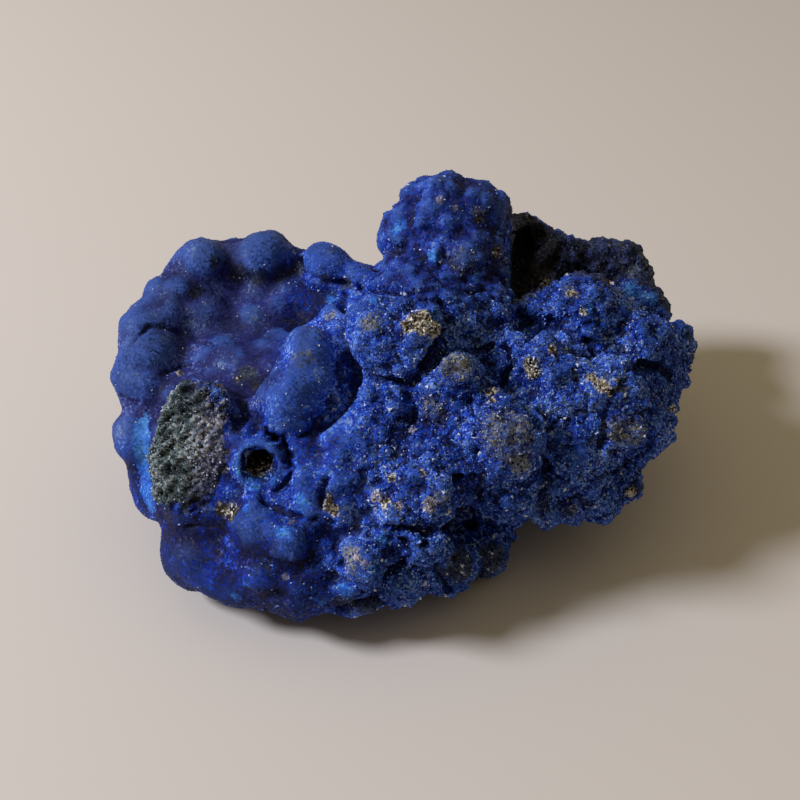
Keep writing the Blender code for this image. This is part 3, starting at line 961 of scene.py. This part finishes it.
# Painted shadow: the shaded pocket and the deep bore are laid over near black.
finish.links.new(laid(given["Black"], 0.97, (0.002, 0.002, 0.004, 1)), made[0])


def shader_of(finish):
    """A finish's node tree and its shader."""
    finish.use_nodes = True
    return finish.node_tree, finish.node_tree.nodes["Principled BSDF"]


def kept(tree, name):
    """A number kept on the mesh, in a shader tree."""
    return grow(tree, "ShaderNodeAttribute", attribute_name=name).outputs["Fac"]


def finish_colour(tree, shade):
    """The azurite's colour at a point with this shade."""
    spot = grow(tree, "ShaderNodeTexCoord").outputs["Object"]
    drift = grow(tree, "ShaderNodeTexNoise", {"Vector": spot, "Scale": 190.0, "Detail": 2.0}).outputs[0]
    drifting = sums(tree, "MULTIPLY_ADD", sums(tree, "SUBTRACT", drift, 0.5), 1.5, shade)
    feeds = {"Shade": sums(tree, "ADD", drifting, kept(tree, "paler"))}
    for label in FINISHES[1:]:
        feeds[label] = kept(tree, label.lower().replace(" ", "_"))
    return grow(tree, "ShaderNodeGroup", feeds, node_tree=finish).outputs[0]


tree, shader = shader_of(skin_finish)
spot = grow(tree, "ShaderNodeTexCoord").outputs["Object"]
cloudy = {"Vector": spot, "Scale": 420.0, "Detail": 5.0, "Roughness": 0.7}
cloud = grow(tree, "ShaderNodeTexNoise", cloudy).outputs[0]
cells = grow(tree, "ShaderNodeTexVoronoi", {"Vector": spot, "Scale": 3300.0}).outputs["Color"]
cell_tone = grow(tree, "ShaderNodeSeparateColor", {0: cells}).outputs[0]
lively = kept(tree, "lively")
sparks = sums(tree, "MULTIPLY", sums(tree, "SUBTRACT", cell_tone, 0.5), sums(tree, "MULTIPLY", lively, 1.1))
tone = sums(tree, "MULTIPLY_ADD", cloud, 1.9, sums(tree, "ADD", sparks, -0.47))
darkest = sums(tree, "MULTIPLY_ADD", kept(tree, "rough"), -0.3, 0.3)  # smooth skin has no dark dots
tone = sums(tree, "MAXIMUM", tone, darkest)
tree.links.new(finish_colour(tree, tone), shader.inputs["Base Color"])
tree.links.new(sums(tree, "MULTIPLY_ADD", cell_tone, -0.3, 0.75), shader.inputs["Roughness"])
tilt = vectors(tree, "SUBTRACT", {0: cells, 1: (0.5, 0.5, 0.5)})
facing = grow(tree, "ShaderNodeNewGeometry").outputs["Normal"]
facet_lean = sums(tree, "MULTIPLY", lively, sums(tree, "MULTIPLY_ADD", kept(tree, "rough"), 0.9, 0.9))
facet = vectors(tree, "ADD", {0: scaled(tree, tilt, facet_lean), 1: facing})
facet = vectors(tree, "NORMALIZE", {0: facet})
tree.links.new(facet, shader.inputs["Normal"])
shader.inputs["Specular IOR Level"].default_value = 0.2

mass.data.materials.clear()
mass.data.materials.append(skin_finish)
mass.data.polygons.foreach_set("use_smooth", [True] * len(mass.data.polygons))
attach(mass, "root")
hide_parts("azurite_specimen")

# --------------------------------------------------------------------------------------------------
# The crust of crystals: azurite sugar, each grain a crystal with flat faces, grown out of the lumps. It is
# dense and coarse on the right, thin and fine on the smooth mound, and mixed with earth in the pockets.
# --------------------------------------------------------------------------------------------------
crust, given, made = geometry_tree(
    "crystal_crust",
    Skin=None,
    Sides=3,
    Spacing=0.25 * MM,
    Least_size=0.13 * MM,
    Most_size=0.34 * MM,
    Lean=0.4,
    Seed=3,
)
skin = grow(crust, "GeometryNodeObjectInfo", {"Object": given["Skin"]}).outputs["Geometry"]
seed = given["Seed"]
MOST_CRYSTALS = 3.2e7  # the most tries at placing a crystal, for a square metre
crystals = kept_number(crust, "crystals")
points, _, upright = spread(crust, skin, given["Spacing"], MOST_CRYSTALS, crystals, seed)


def other_seed(step):
    return grow(crust, "FunctionNodeIntegerMath", {0: seed, 1: step}, operation="ADD").outputs[0]


GLINT_SHARE = 0.035  # the share of the crystals given a painted glint: a whitish colour and a larger size
LEAST_SHAPE, MOST_SHAPE = (0.7, 0.45, 0.5), (1.3, 0.9, 1.1)
darkest = sums(crust, "MULTIPLY_ADD", kept_number(crust, "coarse"), -0.3, 0.38)  # none is dark on smooth skin
glint = sums(crust, "GREATER_THAN", chosen(crust, 0.0, 1.0, other_seed(4)), 1 - GLINT_SHARE)
crystal_shade = sums(crust, "MULTIPLY_ADD", glint, 0.9, chosen(crust, darkest, 1.15, seed))
feeds = {"Geometry": points, "Name": "shade", "Value": crystal_shade}
shaded = grow(crust, "GeometryNodeStoreNamedAttribute", feeds, data_type="FLOAT", domain="POINT").outputs[0]
lean = given["Lean"]
back = sums(crust, "MULTIPLY", lean, -1.0)
lean_low = grow(crust, "ShaderNodeCombineXYZ", {0: back, 1: back, 2: -pi}).outputs[0]
lean_high = grow(crust, "ShaderNodeCombineXYZ", {0: lean, 1: lean, 2: pi}).outputs[0]
leaning = chosen(crust, lean_low, lean_high, other_seed(1), "FLOAT_VECTOR")
feeds = {"Rotation": upright, "Rotate By": leaning}
turn = grow(crust, "FunctionNodeRotateRotation", feeds, rotation_space="LOCAL").outputs[0]
rarely = sums(crust, "POWER", chosen(crust, 0.0, 1.0, other_seed(2)), 2.2)  # most crystals are small
growth = sums(crust, "SUBTRACT", given["Most size"], given["Least size"])
size = sums(crust, "MULTIPLY_ADD", rarely, growth, given["Least size"])
size = sums(crust, "MULTIPLY", size, sums(crust, "MULTIPLY_ADD", glint, 0.5, 1.0))
size = sums(crust, "MULTIPLY", size, sums(crust, "MULTIPLY_ADD", kept_number(crust, "coarse"), 0.45, 0.6))
sized = scaled(crust, chosen(crust, LEAST_SHAPE, MOST_SHAPE, other_seed(3), "FLOAT_VECTOR"), size)
# A crystal: a block with a smaller flat top, rooted in the skin.
feeds = {"Vertices": given["Sides"], "Radius Top": 0.6, "Radius Bottom": 0.9, "Depth": 1.3}
crystal = grow(crust, "GeometryNodeMeshCone", feeds, fill_type="NGON").outputs["Mesh"]
rooted = grow(crust, "GeometryNodeTransform", {"Geometry": crystal, "Translation": (0.0, 0.0, -0.85)})
feeds = {"Points": shaded, "Instance": rooted.outputs[0], "Rotation": turn, "Scale": sized}
placed_crystals = grow(crust, "GeometryNodeInstanceOnPoints", feeds).outputs[0]
crystal_finish = bpy.data.materials.new("azurite_crystals")
tree, shader = shader_of(crystal_finish)
tree.links.new(finish_colour(tree, kept(tree, "shade")), shader.inputs["Base Color"])
shader.inputs["Roughness"].default_value = 0.45
shader.inputs["Specular IOR Level"].default_value = 0.2

finish_tree(crust, placed_crystals, crystal_finish, made)

CRYSTAL_CORNERS = 18  # a crystal's face corners: two triangles and three sides


def give_map(mesh):
    """Gives each crystal a cell of its own in a map that its colour can be kept in."""
    starts, counts = (read(mesh.polygons, what, 1, np.int32) for what in ("loop_start", "loop_total"))
    corner = np.arange(len(mesh.loops))
    turn = corner - np.repeat(starts, counts)
    cell = corner // CRYSTAL_CORNERS
    rows = int(np.ceil(np.sqrt(cell[-1] + 1)))
    u = cell % rows + 0.2 + 0.6 * np.isin(turn, (1, 2))
    v = cell // rows + 0.2 + 0.6 * np.isin(turn, (2, 3))
    uv = (np.stack([u, v], 1) / rows).astype(np.float32)
    mesh.uv_layers.new(name="OFBake").data.foreach_set("uv", uv.ravel())


BAND_EDGES = (-60, -17, -5, 6, 15, 24, 60)  # the crust is made in bands along the length
COARSE_SHARE, BLUE_SHARE, CROWN_SHARE, MOUND_SHARE = 0.9, 0.75, 0.45, 0.5
LONE_SHARE = 0.1  # where fewer crystals than this would stand, none do
SMOOTH_PLACES = [(230, 590, 30), (200, 560, 30), (250, 560, 20), (170, 530, 20)]
p = read(mass.data.vertices, "co") / MM
share = COARSE_SHARE * ramp(coarseness(p), 0.05, 0.6)
share = np.maximum(share, BLUE_SHARE * (1 - violet_mound(p)))
share += (CROWN_SHARE - share) * on_crown(p)  # the crown is smoother
share *= 1 - 0.8 * on_ridge(p)
share = np.maximum(share, MOUND_SHARE * violet_mound(p))
share *= 1 - 0.85 * patches(p, SMOOTH_PLACES, 1.3)
share = np.maximum(share, on_knob_face(p) * COARSE_SHARE)
share = np.maximum(share, patches(p, EARTH + DUST + WHITE, 1.3) * 0.8 * (1 - violet_mound(p)))
share *= share > LONE_SHARE
lit_wall = in_bore(p) * ramp(about_mouth(p)[2] @ (0.7, 0.0, -0.7), 0.0, 0.5)
share = np.maximum(share * (1 - in_bore(p)), lit_wall) * ramp(p[:, 2], 0.4, 1.2)
for band, (low, high) in enumerate(zip(BAND_EDGES[:-1], BAND_EDGES[1:])):
    store(mass.data, "crystals", share * ((p[:, 0] >= low) & (p[:, 0] < high)))
    piece = new_piece(f"crystal_crust_{band + 1}", bpy.data.meshes.new("crust"))
    use_tree(piece, crust, Skin=mass, Seed=3 + band)
    settle(piece)
    give_map(piece.data)
    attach(piece, "root")
    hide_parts("azurite_specimen")
mass.data.attributes.remove(mass.data.attributes["crystals"])

# --------------------------------------------------------------------------------------------------
# The floor is a pale cloth, laid flat, and the specimen only rests on it. One soft lamp stands at the left, a
# warm pale wall gives the fill from above and behind, and the camera looks down from the front.
# --------------------------------------------------------------------------------------------------
FLOOR_HALF = 1.5
floor_mesh = bpy.data.meshes.new("floor")
corners = [(x * FLOOR_HALF, y * FLOOR_HALF, 0) for x, y in ((-1, -1), (1, -1), (1, 1), (-1, 1))]
floor_mesh.from_pydata(corners, [], [(0, 1, 2, 3)])
floor = new_piece("floor", floor_mesh)
paint = bpy.data.materials.new("pale_cloth")
tree, shader = shader_of(paint)
shader.inputs["Base Color"].default_value = (0.6, 0.56, 0.53, 1)
shader.inputs["Roughness"].default_value = 0.95
floor_mesh.materials.append(paint)

# The lamp stands this far off, turned this much from the left to the front, and raised this much.
KEY_DISTANCE, KEY_SIDE, KEY_HEIGHT = 0.8, radians(6.6), radians(40.4)
lamp = bpy.data.lights.new("key", "AREA")
lamp.shape = "DISK"
lamp.energy = 6.8
lamp.size = 0.2
lamp.color = (0.9, 0.915, 1.0)
key = bpy.data.objects.new("key", lamp)
bpy.context.scene.collection.objects.link(key)
flat = KEY_DISTANCE * cos(KEY_HEIGHT)
key.location = (-flat * cos(KEY_SIDE), -flat * sin(KEY_SIDE), KEY_DISTANCE * sin(KEY_HEIGHT))
key.rotation_mode = "QUATERNION"
key.rotation_quaternion = key.location.to_track_quat("Z", "Y")
FILL_FROM = (0.0, 0.45, 0.9)  # above and behind
FILL, FILL_ALL_ROUND = 0.4, 0.08
world = bpy.data.worlds.new("studio")
bpy.context.scene.world = world
world.use_nodes = True
sky_tree = world.node_tree
direction = grow(sky_tree, "ShaderNodeTexCoord").outputs["Generated"]
toward = grow(sky_tree, "ShaderNodeVectorMath", {0: direction, 1: FILL_FROM}, operation="DOT_PRODUCT")
lit = sums(sky_tree, "MAXIMUM", toward.outputs["Value"], 0.0)
strength = sums(sky_tree, "MULTIPLY_ADD", lit, FILL, FILL_ALL_ROUND)
background = sky_tree.nodes["Background"]
background.inputs[0].default_value = (1, 0.83, 0.52, 1)
sky_tree.links.new(strength, background.inputs[1])
bpy.context.scene.view_settings.view_transform = "Standard"

SENSOR = 36
lens = bpy.data.cameras.new("camera")
lens.sensor_width = SENSOR
lens.lens = SENSOR / 2 / tan(VIEW_HALF_ANGLE)
lens.clip_start = 0.005
camera = bpy.data.objects.new("camera", lens)
bpy.context.scene.collection.objects.link(camera)
camera.location = EYE
camera.rotation_euler = (VIEW_TILT, 0, 0)
bpy.context.scene.camera = camera
